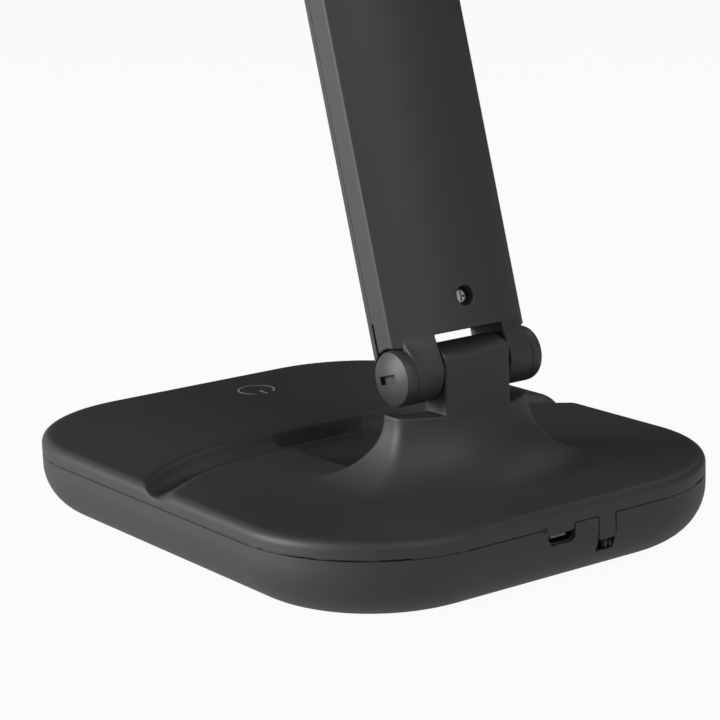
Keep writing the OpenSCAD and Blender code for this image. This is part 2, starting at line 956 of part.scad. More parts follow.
module neck_lead() {
    from = [plug_x + plug[0] / 2, board_y + plug_y + plug[1] / 2];
    bend_z = z_ceiling - 2 * lead_d;
    color([0.8, 0.8, 0.8])
        wire([[from[0], from[1], board_top + plug[2] + lead_lap], [from[0], from[1], bend_z],
              [0, hinge_y, bend_z + lead_lap], [0, hinge_y, hinge_z],
              [nut_out - lead_end, hinge_y, hinge_z]]);
}

// shaft with a bore for the lead and a side hole in the knuckle
module hinge_shaft() {
    color([0.75, 0.75, 0.77])
        difference() {
            hinge_rod(shaft_half, shaft_d / 2);
            translate([-lead_hole, 0, 0])
                rotate([0, 90, 0])
                    cylinder(d = lead_hole, h = shaft_half + lead_hole + over);
            translate([0, 0, -shaft_d])
                cylinder(d = lead_hole, h = shaft_d);
        }
}

module friction_washers() {
    color([0.55, 0.5, 0.4])
        hinge_ring(friction_in, friction_in + friction_t, washer_d / 2, washer_bore / 2);
}

module spring_washers() {
    cup = 0.25;
    color([0.6, 0.6, 0.62])
        for (side = [0, 1])
            mirror([side, 0, 0])
                translate([spring_in, 0, 0])
                    rotate([0, 90, 0])
                        rotate_extrude()
                            polygon([[washer_bore / 2, cup], [washer_d / 2, 0],
                                     [washer_d / 2, spring_t - cup],
                                     [washer_bore / 2, spring_t]]);
}

module hinge_nuts() {
    reach = nut_af / 2 / cos(30);
    color([0.7, 0.7, 0.72])
        for (side = [0, 1])
            mirror([side, 0, 0])
                translate([nut_in, 0, 0])
                    rotate([0, 90, 0])
                        linear_extrude(nut_t)
                            difference() {
                                polygon([for (a = [0 : 60 : 300]) reach * [cos(a), sin(a)]]);
                                circle(d = shaft_d + fit_gap);
                            }
}

// domed cap with a hollow spigot; its slot lies across the arm
module pivot_caps() {
    color([0.2, 0.2, 0.21])
        for (side = [0, 1])
            mirror([side, 0, 0])
                translate([barrel_out, 0, 0])
                    rotate([0, 90, 0])
                        difference() {
                            union() {
                                rotate_extrude()
                                    intersection() {
                                        edge_section(barrel_r, 0, cap_l, 0, cap_round);
                                        translate([0, cap_l - cap_dome_r])
                                            circle(cap_dome_r, $fn = 180);
                                        square(barrel_d);
                                    }
                                translate([0, 0, -spigot_l])
                                    cylinder(d = pocket_d - 2 * fit_gap, h = spigot_l + over);
                            }
                            translate([0, 0, -spigot_l - over])
                                cylinder(d = shaft_d + over, h = 2 * spigot_l + over);
                            translate([-cap_slot_w / 2, -cap_slot_l / 2, cap_l - cap_slot_depth])
                                cube([cap_slot_w, cap_slot_l, cap_l]);
                        }
}

module lower_hinge_shaft() {
    at_lower_hinge(0)
        hinge_shaft();
}

module lower_friction_washers() {
    at_lower_hinge()
        friction_washers();
}

module lower_spring_washers() {
    at_lower_hinge(0)
        spring_washers();
}

module lower_hinge_nuts() {
    at_lower_hinge(0)
        hinge_nuts();
}

module lower_pivot_caps() {
    at_lower_hinge()
        pivot_caps();
}

module upper_hinge_shaft() {
    at_head()
        rotate([180, 0, 0])
            hinge_shaft();
}

module upper_friction_washers() {
    at_upper_hinge()
        friction_washers();
}

module upper_spring_washers() {
    at_head()
        spring_washers();
}

module upper_hinge_nuts() {
    at_head()
        hinge_nuts();
}

module upper_pivot_caps() {
    at_upper_hinge()
        pivot_caps();
}

// outline across the arm: flat front, bowed back
module arm_section(inset = 0) {
    half = arm_w / 2 - inset;
    front = inset - arm_front;
    e = inset > 0 ? 0 : arm_edge_r;
    intersection() {
        translate([0, crown_y])
            circle(arm_bow_r - inset, $fn = 240);
        union() {
            translate([-half, front + e])
                square([2 * half, arm_front + arm_back]);
            if (e > 0) {
                translate([e - half, front])
                    square([2 * (half - e), 2 * e]);
                for (side = [-1, 1])
                    translate([side * (half - e), front + e])
                        circle(e, $fn = 48);
            }
        }
    }
}

// children at the lower and, turned over, at the upper end of the arm
module both_ends() {
    children();
    translate([0, 0, arm_len])
        mirror([0, 0, 1])
            children();
}

module notch() {
    translate([-barrel_in, -arm_w / 2, -notch_h])
        cube([2 * barrel_in, arm_w, 2 * notch_h]);
}

// boss, seat and shank hole for a screw put in from the arm's back
module arm_screw_way(d, y0, y1) {
    translate([0, y0, arm_screw_z])
        rotate([-90, 0, 0])
            cylinder(d = d, h = y1 - y0);
}

module arm_rear_shell() {
    color([0.22, 0.22, 0.23])
        at_lower_hinge()
            difference() {
                union() {
                    difference() {
                        intersection() {
                            linear_extrude(arm_len)
                                arm_section();
                            translate([-arm_w, cover_y + tab_gap / 2, 0])
                                cube([2 * arm_w, arm_w, arm_len]);
                        }
                        translate([0, 0, cavity_z])
                            linear_extrude(arm_len - 2 * cavity_z)
                                arm_section(arm_wall);
                    }
                    both_ends()
                        hinge_ring(barrel_in, barrel_out, barrel_r);
                    both_ends()
                        arm_screw_way(screw_recess_d + 2 * recess_wall, post_y + fit_gap,
                                      arm_back - arm_wall / 2);
                }
                both_ends() {
                    notch();
                    hinge_ring(barrel_out, arm_w, relief_r);
                    hinge_ring(barrel_in - over, barrel_out, shaft_d / 2 + shaft_play);
                    hinge_ring(barrel_in + barrel_wall, barrel_out + over, pocket_d / 2);
                    // dark slit between shell and cover above each cap
                    for (side = [-1, 1])
                        translate([side * arm_w / 2 - slit_depth, cover_y, relief_r - over])
                            cube([2 * slit_depth, slit_w, slit_l + over]);
                    arm_screw_way(screw_recess_d, screw_seat_y, arm_back + over);
                    arm_screw_way(small_screw_d + 2 * fit_gap, cover_y, arm_back);
                    translate([lead_x, 0, shaft_d])
                        cylinder(d = lead_hole, h = cavity_z - shaft_d + over);
                }
            }
}

module arm_front_cover() {
    rail_w = 1;
    rail_x = arm_w / 2 - arm_wall - fit_gap - rail_w;
    color([0.21, 0.21, 0.22])
        at_lower_hinge()
            difference() {
                union() {
                    intersection() {
                        linear_extrude(arm_len)
                            arm_section();
                        translate([-arm_w, -arm_front - over, 0])
                            cube([2 * arm_w, cover_depth + over, arm_len]);
                    }
                    for (side = [0, 1])
                        mirror([side, 0, 0])
                            translate([rail_x, cover_panel - arm_front, cavity_z + fit_gap])
                                cube([rail_w, cover_depth, arm_len - 2 * (cavity_z + fit_gap)]);
                    both_ends()
                        arm_screw_way(small_screw_head, cover_panel - arm_front, post_y);
                }
                difference() {
                    translate([-rail_x, cover_panel - arm_front, cavity_z + 2 * rail_w])
                        cube([2 * rail_x, cover_depth, arm_len - 2 * (cavity_z + 2 * rail_w)]);
                    both_ends()
                        arm_screw_way(small_screw_head, -arm_front, post_y);
                }
                both_ends() {
                    notch();
                    hinge_rod(arm_w, relief_r);
                    arm_screw_way(small_screw_d + fit_gap, cover_panel - arm_front, post_y + over);
                }
            }
}

module arm_screws() {
    color([0.7, 0.7, 0.72])
        at_lower_hinge()
            both_ends()
                translate([0, screw_seat_y, arm_screw_z])
                    rotate([-90, 0, 0])
                        screw(small_screw_d, small_screw_head, screw_seat_y - post_y + post_rise);
}

module arm_lead() {
    color([0.8, 0.8, 0.8])
        at_lower_hinge()
            wire([[lead_x, 0, 0],
              [lead_x, 0, cavity_z + lead_bend],
              [lead_x - lead_shift, 0, cavity_z + 2 * lead_bend],
              [lead_x - lead_shift, 0, arm_len - cavity_z - 2 * lead_bend],
              [lead_x, 0, arm_len - cavity_z - lead_bend],
              [lead_x, 0, arm_len]]);
}

// light window, seen from below, grown by a lap
module window_block(lap, z0, t) {
    translate([0, window_y, 0])
        plate(window_w + 2 * lap, window_len + 2 * lap, window_r, z0, z0 + t, 0, 0);
}

module head_screw_places() {
    for (sx = [-1, 1], y = [head_screw_near, head_screw_far])
        translate([sx * head_screw_x, y, 0])
            children();
}

module head_top_shell() {
    color([0.22, 0.22, 0.23])
        at_head()
            difference() {
                union() {
                    difference() {
                        translate([0, head_mid, 0])
                            plate(head_w, head_full, head_corner_r, head_rise, head_top,
                                  0, head_edge_r);
                        translate([0, head_mid, 0])
                            plate(head_w - 2 * head_wall, head_full - 2 * head_wall,
                                  head_corner_r - head_wall, head_rise - over, head_ceiling, 0, 0);
                    }
                    hinge_rod(knuckle_w / 2, head_knuckle_r);
                    translate([-knuckle_w / 2, -head_knuckle_y, 0])
                        cube([knuckle_w, 2 * head_knuckle_y, head_ceiling + over]);
                    head_screw_places()
                        translate([0, 0, stack_z])
                            cylinder(d = small_boss_d, h = head_ceiling - stack_z + over);
                }
                hinge_rod(knuckle_w, shaft_d / 2 + fit_gap / 2);
                cylinder(d = lead_hole, h = lead_way_z + 1);
                translate([0, 0, lead_way_z])
                    rotate([90, 0, 0])
                        cylinder(d = lead_hole, h = head_knuckle_y + over);
                head_screw_places()
                    translate([0, 0, stack_z - over])
                        cylinder(d = small_screw_d + fit_gap, h = head_screw_l + over);
            }
}

module head_bezel() {
    color([0.2, 0.2, 0.21])
        at_head()
            difference() {
                translate([0, head_mid, 0])
                    plate(head_w - 2 * bezel_in, head_full - 2 * bezel_in,
                          head_corner_r - bezel_in, head_rise, stack_z, 0, 0);
                window_block(0, head_rise - over, bezel_t + 2 * over);
                translate([-knuckle_w / 2 - fit_gap, -head_knuckle_y - fit_gap, 0])
                    cube([knuckle_w + 2 * fit_gap, 2 * (head_knuckle_y + fit_gap), head_top]);
                head_screw_places() {
                    cylinder(d = small_screw_d + 2 * fit_gap, h = head_top);
                    cylinder(d = small_screw_head + 2 * fit_gap, h = head_rise + head_screw_seat);
                }
            }
}

module light_diffuser() {
    color([0.95, 0.95, 0.93])
        at_head()
            window_block(light_lap, stack_z, diffuser_t);
}

// the light guide leaves room for the row of lights along its +X side
module light_guide() {
    color([0.85, 0.9, 0.92])
        at_head()
            difference() {
                window_block(light_lap, guide_z, guide_t);
                translate([led_x - led_t - led_gap, window_y - window_len, guide_z - over])
                    cube([head_w, 2 * window_len, guide_t + 2 * over]);
            }
}

module reflector_sheet() {
    color([0.93, 0.93, 0.93])
        at_head()
            difference() {
                window_block(light_lap, reflector_z, reflector_t);
                translate([led_x - led_t - led_gap, window_y - window_len, reflector_z - over])
                    cube([head_w, 2 * window_len, 2 * over + reflector_t]);
            }
}

module led_board() {
    color([0.9, 0.9, 0.88])
        at_head()
            translate([led_x, window_y - window_len / 2, guide_z])
                cube([led_board_t, window_len, guide_t + reflector_t + 0.8]);
}

module led_chips() {
    end_in = 2.6;
    pitch = (window_len - 2 * end_in - led_w) / (led_count - 1);
    color([0.95, 0.85, 0.4])
        at_head()
            for (k = [0 : led_count - 1])
                translate([led_x - led_t, window_y - window_len / 2 + end_in + k * pitch,
                           guide_z + (guide_t - led_h) / 2])
                    cube([led_t, led_w, led_h]);
}

module head_screws() {
    color([0.7, 0.7, 0.72])
        at_head()
            head_screw_places()
                translate([0, 0, head_rise + head_screw_seat])
                    rotate([180, 0, 0])
                        screw(small_screw_d, head_screw_head, head_screw_l);
}

module head_lead() {
    z = lead_way_z;
    turn = 3;
    pass_y = head_screw_near - small_boss_d;
    end_x = led_x - led_room;
    color([0.8, 0.8, 0.8])
        at_head()
            wire([[nut_out - lead_end, 0, 0], [0, 0, 0], [0, 0, z], [0, -head_knuckle_y - turn, z],
                  [end_x / 2, pass_y, z], [end_x, pass_y - turn, z],
                  [end_x, pass_y - 2 * turn, z]]);
}

base_top_cover();
base_bottom_tray();
ballast_plate();
rubber_feet();
base_screws();
battery_pack();
control_board();
board_parts();
board_screws();
usb_socket();
usb_tongue();
slide_switch_body();
switch_slider();
charge_light_pipe();
touch_pad();
neck_lead();
lower_hinge_shaft();
lower_friction_washers();
lower_spring_washers();
lower_hinge_nuts();
lower_pivot_caps();
arm_rear_shell();
arm_front_cover();
arm_screws();
arm_lead();
upper_hinge_shaft();
upper_friction_washers();
upper_spring_washers();
upper_hinge_nuts();
upper_pivot_caps();
head_top_shell();
head_bezel();
light_diffuser();
light_guide();
reflector_sheet();
led_board();
led_chips();
head_screws();
head_lead();
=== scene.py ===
# LED table lamp: black moulded base with a phone groove, folding arm and light head.
# Lengths in the dictionaries are millimetres; the scene itself is in metres.
import json
import math
import bpy
import numpy as np
from mathutils import Matrix, Vector


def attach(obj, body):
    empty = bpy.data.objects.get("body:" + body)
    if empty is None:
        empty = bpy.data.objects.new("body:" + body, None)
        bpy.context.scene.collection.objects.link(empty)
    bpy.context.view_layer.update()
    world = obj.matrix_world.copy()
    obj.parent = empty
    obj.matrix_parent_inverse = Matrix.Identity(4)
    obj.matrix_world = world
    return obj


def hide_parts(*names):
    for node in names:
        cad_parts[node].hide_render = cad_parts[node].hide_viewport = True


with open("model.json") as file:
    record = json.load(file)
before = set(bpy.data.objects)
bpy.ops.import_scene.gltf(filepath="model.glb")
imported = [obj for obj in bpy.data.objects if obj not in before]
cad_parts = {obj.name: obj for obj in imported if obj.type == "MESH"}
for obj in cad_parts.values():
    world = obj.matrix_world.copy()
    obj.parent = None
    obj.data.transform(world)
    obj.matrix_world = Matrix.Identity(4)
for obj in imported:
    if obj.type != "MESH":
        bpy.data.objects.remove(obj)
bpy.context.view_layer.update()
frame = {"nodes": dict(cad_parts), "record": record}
nodes = frame["nodes"]
mm = 0.001


# the camera, solved from the outline of the base: degrees and millimetres
view = {"azimuth": 35.99, "elevation": 13.38, "roll": 1.76, "distance": 659.5,
        "aimRight": -0.336, "aimUp": 42.9, "lens": 118.31, "sensor": 36}


def toward(azimuth, elevation):
    # unit vector at degrees from +Y toward +X, and above the table
    a, e = math.radians(azimuth), math.radians(elevation)
    return Vector((math.sin(a) * math.cos(e), math.cos(a) * math.cos(e), math.sin(e)))


def addCamera():
    back = toward(view["azimuth"], view["elevation"])
    az, roll = math.radians(view["azimuth"]), math.radians(view["roll"])
    right = Vector((-math.cos(az), math.sin(az), 0))
    up = right.cross(-back)
    place = right * view["aimRight"] + up * view["aimUp"] + back * view["distance"]
    c, s = math.cos(roll), math.sin(roll)
    turned = Matrix((right * c - up * s, right * s + up * c, back)).transposed()
    data = bpy.data.cameras.new("camera")
    data.lens = view["lens"]
    data.sensor_width = view["sensor"]
    camera = bpy.data.objects.new("camera", data)
    camera.matrix_world = Matrix.Translation(place * mm) @ turned.to_4x4()
    bpy.context.scene.collection.objects.link(camera)
    bpy.context.scene.camera = camera


addCamera()
print("camera set")


# materials
def toLinear(code):
    parts = [int(code[i:i + 2], 16) / 255 for i in (1, 3, 5)]
    return [p / 12.92 if p <= 0.04045 else ((p + 0.055) / 1.055) ** 2.4 for p in parts] + [1]


def perMetre(size):
    # texture scale that gives features of this size in millimetres
    return 1000 / size


def addNode(tree, kind, inputs=None, **settings):
    node = tree.nodes.new(kind)
    for key, value in settings.items():
        setattr(node, key, value)
    for key, value in (inputs or {}).items():
        if isinstance(value, bpy.types.NodeSocket):
            tree.links.new(value, node.inputs[key])
        else:
            node.inputs[key].default_value = value
    return node


def newMaterial(name):
    material = bpy.data.materials.new(name)
    material.use_nodes = True
    tree = material.node_tree
    shader = next(n for n in tree.nodes if n.type == "BSDF_PRINCIPLED")
    place = addNode(tree, "ShaderNodeTexCoord").outputs["Object"]
    return material, tree, shader, place


def linkSurface(tree, shader, colour, polish, relief):
    tree.links.new(colour.outputs["Result"], shader.inputs["Base Color"])
    tree.links.new(polish.outputs["Result"], shader.inputs["Roughness"])
    tree.links.new(relief.outputs["Normal"], shader.inputs["Normal"])


# Black ABS from a spark-eroded mould: even charcoal, a soft sheen that blurs every light,
# a very fine grain, and corners rubbed a little smoother by handling.
def mouldedAbs(name, dark, light, roughness, grain=0.4, edge=0.25):
    material, tree, shader, place = newMaterial(name)
    # the real grain is near 0.1 mm; it is drawn coarser so that it shows
    fine = addNode(tree, "ShaderNodeTexNoise",
                   {"Vector": place, "Scale": perMetre(grain), "Detail": 3.0, "Roughness": 0.6})
    cloud = addNode(tree, "ShaderNodeTexNoise",
                    {"Vector": place, "Scale": perMetre(plastic["cloud"]), "Detail": 2.0})
    both = addNode(tree, "ShaderNodeMath", {0: fine.outputs[0], 1: cloud.outputs[0]},
                   operation="ADD")
    tone = addNode(tree, "ShaderNodeMapRange",
                   {"Value": both.outputs[0], "From Min": 0.6, "From Max": 1.4})
    colour = addNode(tree, "ShaderNodeMix", {"Factor": tone.outputs["Result"],
                                             "A": toLinear(dark), "B": toLinear(light)},
                     data_type="RGBA")
    polish = addNode(tree, "ShaderNodeMapRange",
                     {"Value": cloud.outputs[0],
                      "To Min": roughness - 0.03, "To Max": roughness + 0.05})
    rounded = addNode(tree, "ShaderNodeBevel", {"Radius": edge * mm}, samples=6)
    relief = addNode(tree, "ShaderNodeBump", {"Height": fine.outputs[0], "Strength": 0.16,
                                              "Distance": 0.02 * mm,
                                              "Normal": rounded.outputs["Normal"]})
    linkSurface(tree, shader, colour, polish, relief)
    shader.inputs["IOR"].default_value = 1.53
    return material


# Bright zinc or nickel over turned steel: a clean grey metal with faint turning marks.
def platedSteel(name, dark, light, roughness, mark=0.3):
    material, tree, shader, place = newMaterial(name)
    turning = addNode(tree, "ShaderNodeTexNoise",
                      {"Vector": place, "Scale": perMetre(mark), "Detail": 2.0})
    cloud = addNode(tree, "ShaderNodeTexNoise", {"Vector": place, "Scale": perMetre(4)})
    colour = addNode(tree, "ShaderNodeMix", {"Factor": cloud.outputs[0],
                                             "A": toLinear(dark), "B": toLinear(light)},
                     data_type="RGBA")
    polish = addNode(tree, "ShaderNodeMapRange",
                     {"Value": turning.outputs[0],
                      "To Min": roughness - 0.06, "To Max": roughness + 0.08})
    relief = addNode(tree, "ShaderNodeBump", {"Height": turning.outputs[0], "Strength": 0.1,
                                              "Distance": 0.01 * mm})
    linkSurface(tree, shader, colour, polish, relief)
    shader.inputs["Metallic"].default_value = 1
    return material


# Small moulded or coated pieces: a plain colour with a slight cloud and its own polish.
def smallMoulding(name, dark, light, roughness, cloudSize, ior=1.5, depth=0.01):
    material, tree, shader, place = newMaterial(name)
    cloud = addNode(tree, "ShaderNodeTexNoise",
                    {"Vector": place, "Scale": perMetre(cloudSize), "Detail": 3.0})
    colour = addNode(tree, "ShaderNodeMix", {"Factor": cloud.outputs[0],
                                             "A": toLinear(dark), "B": toLinear(light)},
                     data_type="RGBA")
    polish = addNode(tree, "ShaderNodeMapRange",
                     {"Value": cloud.outputs[0],
                      "To Min": roughness - 0.05, "To Max": roughness + 0.05})
    relief = addNode(tree, "ShaderNodeBump", {"Height": cloud.outputs[0], "Strength": 0.2,
                                              "Distance": depth * mm})
    linkSurface(tree, shader, colour, polish, relief)
    shader.inputs["IOR"].default_value = ior
    return material


# Polycarbonate and acrylic: moulded clear, faintly hazed inside.
def clearMoulding(name, colour, roughness, ior):
    material, tree, shader, place = newMaterial(name)
    haze = addNode(tree, "ShaderNodeTexNoise", {"Vector": place, "Scale": perMetre(3)})
    polish = addNode(tree, "ShaderNodeMapRange",
                     {"Value": haze.outputs[0], "To Min": roughness, "To Max": roughness + 0.1})
    tree.links.new(polish.outputs["Result"], shader.inputs["Roughness"])
    shader.inputs["Base Color"].default_value = toLinear(colour)
    shader.inputs["Transmission Weight"].default_value = 0.8
    shader.inputs["IOR"].default_value = ior
    return material


# the lamp's own black; cloud is the size of its faint unevenness
plastic = {"dark": "#2a2a2c", "light": "#303032", "armLight": "#323234",
           "capDark": "#2c2c2e", "capLight": "#333335",
           "roughness": 0.55, "capRoughness": 0.5, "cloud": 38}
baseAbs = mouldedAbs("blackAbsBase", plastic["dark"], plastic["light"], plastic["roughness"])
armAbs = mouldedAbs("blackAbsArm", plastic["dark"], plastic["armLight"], plastic["roughness"])
headAbs = mouldedAbs("blackAbsHead", plastic["dark"], plastic["light"], plastic["roughness"])
capAbs = mouldedAbs("blackAbsCap", plastic["capDark"], plastic["capLight"],
                    plastic["capRoughness"], grain=0.3, edge=0.15)

finishes = {
    "base_plastic": baseAbs, "arm_plastic": armAbs, "head_plastic": headAbs,
    "cap_plastic": capAbs,
    # hot rolled plate: dull grey with broad flat marks
    "ballast_steel": platedSteel("rolledSteel", "#6b6d70", "#7d7f82", 0.5, 1.5),
    # screws, shafts and nuts: bright and slightly blurred
    "plated_steel": platedSteel("zincPlatedSteel", "#b4b6b9", "#c9cacc", 0.3),
    # feet: matt and near black
    "foot_rubber": smallMoulding("mouldedRubber", "#19191a", "#232324", 0.75, 0.5, 1.52, 0.03),
    # friction washers: waxy cream
    "washer_plastic": smallMoulding("acetalWasher", "#b9b3a3", "#c9c4b6", 0.45, 1.2, 1.48),
    # battery: smooth blue film
    "battery_sleeve": smallMoulding("shrinkSleeve", "#39566f", "#44637e", 0.35, 9),
    # boards: green lacquer over a fine weave
    "board_laminate": smallMoulding("glassEpoxyLaminate", "#1d4a33", "#255a40", 0.4, 0.7, 1.55),
    # chips and switch: flat black resin
    "component_black": smallMoulding("epoxyMoulding", "#1b1b1c", "#262627", 0.55, 0.6),
    # plugs: off-white and semi-matt
    "connector_plastic": smallMoulding("nylonConnector", "#d9d6cc", "#e6e3da", 0.45, 1.5),
    # light guide: clear and bright at its edges
    "clear_plastic": clearMoulding("clearAcrylic", "#f2f6f7", 0.08, 1.49),
    # touch pad: warm red metal
    "copper_foil": platedSteel("copperFoil", "#b5714a", "#c98659", 0.35, 0.6),
    # leads: soft pale grey
    "lead_sheath": smallMoulding("pvcSheath", "#c9c9c6", "#d8d8d5", 0.5, 2, 1.53),
    # window: milky white with a satin skin
    "diffuser_opal": smallMoulding("opalAcrylic", "#f0f0ec", "#f6f6f3", 0.38, 6, 1.49),
    # reflector: flat white
    "reflector_white": smallMoulding("whitePolyester", "#f2f2f0", "#f8f8f7", 0.5, 2, 1.57),
    # LEDs: small yellow domes of resin
    "led_phosphor": smallMoulding("phosphorResin", "#e2c84e", "#ecd76a", 0.3, 0.4, 1.53),
}
slotOf = {part["node"]: part["material_slot"] for part in frame["record"]["subparts"]}
# pieces that the photo shows darker than others of their slot
# painted shade: darker copies of each slot's material stand in for the shade in the rear face's
# openings
paintedShadePieces = {
    # painted shade on the inlet's plated steel
    "usb_socket": platedSteel("shadedPlatedSteel", "#4c4d50", "#58595c", 0.42),
    # painted shade on the off-white connector tongue
    "usb_tongue": smallMoulding("shadedNylon", "#77787a", "#828385", 0.45, 1.0),
    # painted shade on the clear light pipe
    "charge_light_pipe": clearMoulding("shadedAcrylic", "#1d1f21", 0.12, 1.49),
}
for name, item in nodes.items():
    for slot in item.material_slots:
        slot.material = paintedShadePieces.get(name, finishes[slotOf[name]])
print("materials made")


# smooth mouldings, meshed from their own distance fields
def roundCut(a, b, r):
    # both kept, their edge rounded
    return np.minimum(np.maximum(a, b), -r) + np.hypot(np.maximum(a + r, 0), np.maximum(b + r, 0))


def roundJoin(a, b, r):
    # either kept, their corner filled with a concave round
    return np.maximum(np.minimum(a, b), r) - np.hypot(np.maximum(r - a, 0), np.maximum(r - b, 0))


def softMax(a, b, k):
    # both kept, their edge rounded alike at every distance
    return np.maximum(a, b) + np.maximum(k - np.abs(a - b), 0) ** 2 / (4 * k)


def steps(*stops):
    # grid lines from runs of (start, end, spacing)
    lines = []
    for start, end, gap in stops:
        lines.append(np.linspace(start, end, max(2, int(round((end - start) / gap)) + 1))[:-1])
    return np.append(np.concatenate(lines), stops[-1][1])


# how a skin settles: probe for the slope, rounds of pulling, least slope trusted, and the share
# of a cell that a vertex may leave it by
settle = {"probe": 0.01, "pulls": 4, "leastSlope": 0.05, "stray": 0.25}


def slope(field, p):
    h = settle["probe"]
    out = np.empty_like(p)
    for axis in range(3):
        q = p.copy()
        q[:, axis] += h
        ahead = field(*q.T)
        q[:, axis] -= 2 * h
        out[:, axis] = (ahead - field(*q.T)) / (2 * h)
    return out


def crossings(value, grid, cells):
    # mean of the points where the surface cuts each cell's twelve edges
    total = np.zeros((len(cells), 3))
    hits = np.zeros(len(cells))
    for axis in range(3):
        first, second = [k for k in range(3) if k != axis]
        for b in (0, 1):
            for c in (0, 1):
                start = cells.copy()
                start[:, first] += b
                start[:, second] += c
                end = start.copy()
                end[:, axis] += 1
                v0, v1 = value[tuple(start.T)], value[tuple(end.T)]
                cross = (v0 < 0) != (v1 < 0)
                t = np.where(cross, v0 / np.where(cross, v0 - v1, 1), 0)
                point = np.stack([grid[k][start[:, k]] for k in range(3)], 1)
                point[:, axis] += t * (grid[axis][end[:, axis]] - grid[axis][start[:, axis]])
                total += point * cross[:, None]
                hits += cross
    return total / hits[:, None]


def skinFaces(inside, grid, index):
    # one quad round each grid edge that the surface cuts, wound outward
    faces = []
    for axis in range(3):
        u, w = [(1, 2), (2, 0), (0, 1)][axis]
        a = [slice(None)] * 3
        b = [slice(None)] * 3
        a[axis], b[axis] = slice(None, -1), slice(1, None)
        first, second = inside[tuple(a)], inside[tuple(b)]
        edges = np.argwhere(first != second)
        keep = (edges[:, u] > 0) & (edges[:, w] > 0)
        keep &= (edges[:, u] < len(grid[u]) - 1) & (edges[:, w] < len(grid[w]) - 1)
        edges = edges[keep]
        out = first[tuple(edges.T)]
        ring = []
        for du, dw in ((1, 1), (0, 1), (0, 0), (1, 0)):
            cell = edges.copy()
            cell[:, u] -= du
            cell[:, w] -= dw
            ring.append(index[tuple(cell.T)])
        ring = np.stack(ring, 1)
        ring[~out] = ring[~out][:, ::-1]
        faces.append(ring)
    return np.concatenate(faces)


def skin(field, xs, ys, zs):
    # one vertex in each grid cell that the surface crosses, pulled onto the surface
    grid = [xs, ys, zs]
    value = field(*np.meshgrid(xs, ys, zs, indexing="ij", sparse=True))
    inside = value < 0
    count = sum(inside[a:len(xs) - 1 + a, b:len(ys) - 1 + b, c:len(zs) - 1 + c].astype(np.int8)
                for a in (0, 1) for b in (0, 1) for c in (0, 1))
    cells = np.argwhere((count > 0) & (count < 8))
    index = np.full(count.shape, -1, np.int64)
    index[tuple(cells.T)] = np.arange(len(cells))
    points = crossings(value, grid, cells)
    room = np.stack([np.diff(grid[k])[cells[:, k]] for k in range(3)], 1)
    low = np.stack([grid[k][cells[:, k]] for k in range(3)], 1)
    stray = settle["stray"]
    for _ in range(settle["pulls"]):
        way = slope(field, points)
        length = np.maximum((way ** 2).sum(1), settle["leastSlope"])
        points = points - way * (field(*points.T) / length)[:, None]
        points = np.clip(points, low - stray * room, low + (1 + stray) * room)
    return points, skinFaces(inside, grid, index)


def meshPiece(name, points, faces, material, body, creases=40):
    # quads only; edges sharper than creases degrees stay crisp
    mesh = bpy.data.meshes.new(name)
    mesh.vertices.add(len(points))
    mesh.vertices.foreach_set("co", (np.asarray(points) * mm).ravel())
    mesh.loops.add(faces.size)
    mesh.loops.foreach_set("vertex_index", faces.ravel().astype(np.int32))
    mesh.polygons.add(len(faces))
    mesh.polygons.foreach_set("loop_start", np.arange(0, faces.size, 4, dtype=np.int32))
    mesh.update(calc_edges=True)
    mesh.validate()
    mesh.shade_smooth()
    mesh.set_sharp_from_angle(angle=math.radians(creases))
    mesh.materials.append(material)
    piece = bpy.data.objects.new(name, mesh)
    bpy.context.scene.collection.objects.link(piece)
    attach(piece, body)
    return piece


# base cover: front is -Y, and heights are above the tray's underside
base = {"width": 140, "depth": 172, "height": 22, "corner": 40, "topRound": 2.5,
        "seam": 17, "seamGap": 0.08, "wall": 2.4, "wallSlack": 0.1,
        # phone groove: straight in the middle, turned toward the rear at its ends
        "grooveDepth": 5, "grooveRadius": 9.7, "grooveY": -14, "grooveHalf": 30,
        "grooveTurn": 55, "grooveRise": 9, "grooveLip": 1.3,
        "narrowFront": 0.022, "narrowRear": 0.005,
        # flat slot before the neck; its edge rolls more from rollFrom on, over rollRun
        "slotFront": -22.6, "slotFoot": -20.2, "slotLip": 0.8, "slotHalf": 16,
        "slotSide": 4, "slotFootRound": 0.4, "slotRoll": 6, "rollFrom": -12, "rollRun": 10,
        # neck with a bowed back, and the top's swell round it
        "neckHalf": 21.7, "neckFront": 38.2, "bowY": 17.7, "bowRadius": 34.8, "neckEdge": 1.6,
        "swell": 2.4, "swellReach": 30,
        "shoulder": 40, "shoulderEdge": 0.5, "flare": 15, "sweep": 21,
        # knuckle of the hinge
        "knuckleHalf": 10.6, "knuckleRoot": 3, "crownY": 43.3, "crownZ": 41.55, "crown": 16,
        "knuckleEdge": 0.45,
        # rear face: tabs as (least x, most x, lower edge), light hole as (x, radius)
        "usb": (-1.8, 7.0, 15.5), "switch": (-15.5, -9.7, 10.7), "tabFrom": 70,
        "light": (8.2, 0.7), "lightFrom": 80}

# its grid: fine at the edges, the slot and the knuckle, coarse between
coverGrid = {"fine": 0.45, "quick": 0.9, "side": 0.6, "slot": 0.7, "plain": 1.3, "long": 1.4,
             "margin": 1, "band": 4, "knuckleX": 24, "slotY": (-27, -2), "knuckleY": (36.4, 54),
             "tabZ": (9.7, 13.9, 0.5), "seamBand": 0.2, "seamStep": 0.4, "topStep": 0.45,
             "topZ": 24, "neckStep": 0.9, "neckZ": 37, "crownZ": 59,
             "seamNear": 0.3, "wallNear": 0.35}


def footprint(x, y):
    b = base
    qx = np.abs(x) - (b["width"] / 2 - b["corner"])
    qy = np.abs(y) - (b["depth"] / 2 - b["corner"])
    outer = np.hypot(np.maximum(qx, 0), np.maximum(qy, 0))
    return outer + np.minimum(np.maximum(qx, qy), 0) - b["corner"]


